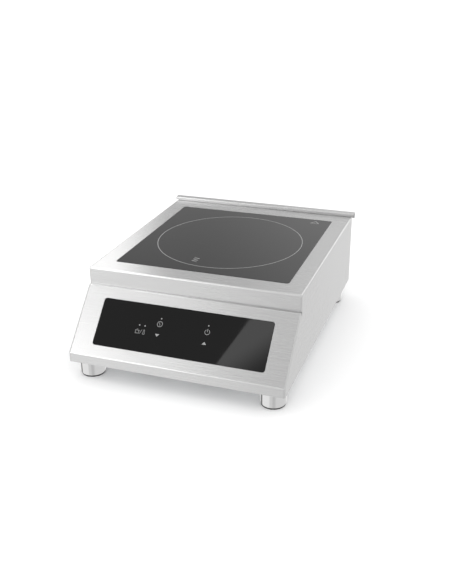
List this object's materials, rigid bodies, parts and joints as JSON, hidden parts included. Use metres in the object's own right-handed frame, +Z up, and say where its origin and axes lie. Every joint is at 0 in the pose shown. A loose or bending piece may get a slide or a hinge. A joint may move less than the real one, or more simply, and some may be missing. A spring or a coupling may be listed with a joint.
{
  "type": "induction hob",
  "caption": "Table-top induction hob: stainless housing with a dark glass cooking surface, sloping touch console, rear rail and screw-adjustable feet.",
  "frame": {"origin": "centre of the footprint on the surface the feet stand on, bottom of the bounding box", "axes": "+Z up, +Y towards the rear rail, +X to the right of a person facing the control side"},
  "size_m": [0.403, 0.5326, 0.183],
  "materials": {
    "stainless": "brushed stainless sheet",
    "zinc_sheet": "zinc-plated sheet",
    "polished_steel": "polished steel",
    "plated_steel": "plated fasteners",
    "dark_glass": "opaque dark glass-ceramic",
    "black_silicone": "silicone",
    "black_rubber": "rubber",
    "black_plastic": "moulded",
    "grey_plastic": "moulded",
    "grey_nylon": "nylon",
    "green_board": "glass-fibre board",
    "red_display": "tinted plastic",
    "aluminium": "mill finish",
    "copper": "enamelled copper wire",
    "white_insulation": "glass-fibre and mica insulation",
    "silicone_sleeve": "silicone sleeve",
    "ribbon_grey": "flat ribbon cable",
    "ferrite": "sintered ferrite"
  },
  "bodies": {
    "housing": {"air_duct": "black_plastic", "base_plate": "zinc_sheet", "bonding_nuts": "plated_steel", "bonding_stud": "plated_steel", "ceramic_glass": "dark_glass", "coil_former": "grey_plastic", "coil_leads": "silicone_sleeve", "coil_plate": "aluminium", "coil_winding": "copper", "control_board": "green_board", "control_tray": "black_plastic", "display_modules": "red_display", "electrolytic_capacitors": "aluminium", "fan_frame_left": "black_plastic", "fan_frame_right": "black_plastic", "ferrite_bars": "ferrite", "film_capacitors": "grey_plastic", "filter_choke": "copper", "foot_nuts": "plated_steel", "foot_sleeves": "polished_steel", "front_panel": "stainless", "gland_body": "grey_nylon", "gland_dome_nut": "grey_nylon", "gland_locknut": "grey_nylon", "gland_seal": "black_rubber", "glass_frame": "zinc_sheet", "glass_seal": "black_silicone", "heat_sink": "aluminium", "housing_cover": "stainless", "housing_screws": "plated_steel", "indicator_leds": "red_display", "inner_posts": "plated_steel", "inner_screws": "plated_steel", "insulation_disc": "white_insulation", "mains_wires": "silicone_sleeve", "plate_rivets": "plated_steel", "power_board": "green_board", "power_modules": "black_plastic", "rating_plate": "aluminium", "rear_panel": "stainless", "rear_rail": "stainless", "relays": "black_plastic", "ribbon_cable": "ribbon_grey", "temperature_sensor": "white_insulation", "terminal_block": "grey_plastic", "touch_glass": "dark_glass", "touch_glass_gasket": "black_silicone", "touch_springs": "plated_steel", "tray_nuts": "plated_steel"},
    "fan_left": {"fan_rotor_left": "black_plastic"},
    "fan_right": {"fan_rotor_right": "black_plastic"},
    "foot_pad_front_left_body": {"foot_pad_front_left": "black_rubber"},
    "foot_adjuster_front_left_body": {"foot_adjuster_front_left": "polished_steel"},
    "foot_pad_front_right_body": {"foot_pad_front_right": "black_rubber"},
    "foot_adjuster_front_right_body": {"foot_adjuster_front_right": "polished_steel"},
    "foot_pad_rear_left_body": {"foot_pad_rear_left": "black_rubber"},
    "foot_adjuster_rear_left_body": {"foot_adjuster_rear_left": "polished_steel"},
    "foot_pad_rear_right_body": {"foot_pad_rear_right": "black_rubber"},
    "foot_adjuster_rear_right_body": {"foot_adjuster_rear_right": "polished_steel"}
  },
  "joints": [
    {"name": "fan_left_spin", "type": "hinge", "parent": "housing", "child": "fan_left", "pos_m": [-0.056, -0.18625, 0.045], "axis": [0, 0, 1], "continuous": true},
    {"name": "fan_right_spin", "type": "hinge", "parent": "housing", "child": "fan_right", "pos_m": [0.056, -0.18625, 0.045], "axis": [0, 0, 1], "continuous": true},
    {"name": "foot_front_left_height", "type": "slide", "parent": "housing", "child": "foot_pad_front_left_body", "axis": [0, 0, -1], "range_m": [0, 0.012]},
    {"name": "foot_front_left_turn", "type": "hinge", "parent": "foot_pad_front_left_body", "child": "foot_adjuster_front_left_body", "pos_m": [-0.17, -0.23425, 0.004], "axis": [0, 0, -1], "range_deg": [0, 2884]},
    {"name": "foot_front_right_height", "type": "slide", "parent": "housing", "child": "foot_pad_front_right_body", "axis": [0, 0, -1], "range_m": [0, 0.012]},
    {"name": "foot_front_right_turn", "type": "hinge", "parent": "foot_pad_front_right_body", "child": "foot_adjuster_front_right_body", "pos_m": [0.17, -0.23425, 0.004], "axis": [0, 0, -1], "range_deg": [0, 2884]},
    {"name": "foot_rear_left_height", "type": "slide", "parent": "housing", "child": "foot_pad_rear_left_body", "axis": [0, 0, -1], "range_m": [0, 0.012]},
    {"name": "foot_rear_left_turn", "type": "hinge", "parent": "foot_pad_rear_left_body", "child": "foot_adjuster_rear_left_body", "pos_m": [-0.17, 0.20175, 0.004], "axis": [0, 0, -1], "range_deg": [0, 2884]},
    {"name": "foot_rear_right_height", "type": "slide", "parent": "housing", "child": "foot_pad_rear_right_body", "axis": [0, 0, -1], "range_m": [0, 0.012]},
    {"name": "foot_rear_right_turn", "type": "hinge", "parent": "foot_pad_rear_right_body", "child": "foot_adjuster_rear_right_body", "pos_m": [0.17, 0.20175, 0.004], "axis": [0, 0, -1], "range_deg": [0, 2884]}
  ],
  "couplings": [
    {"joint": "foot_front_left_turn", "follows": "foot_front_left_height", "rad_per_m": 4188.8},
    {"joint": "foot_front_right_turn", "follows": "foot_front_right_height", "rad_per_m": 4188.8},
    {"joint": "foot_rear_left_turn", "follows": "foot_rear_left_height", "rad_per_m": 4188.8},
    {"joint": "foot_rear_right_turn", "follows": "foot_rear_right_height", "rad_per_m": 4188.8}
  ]
}
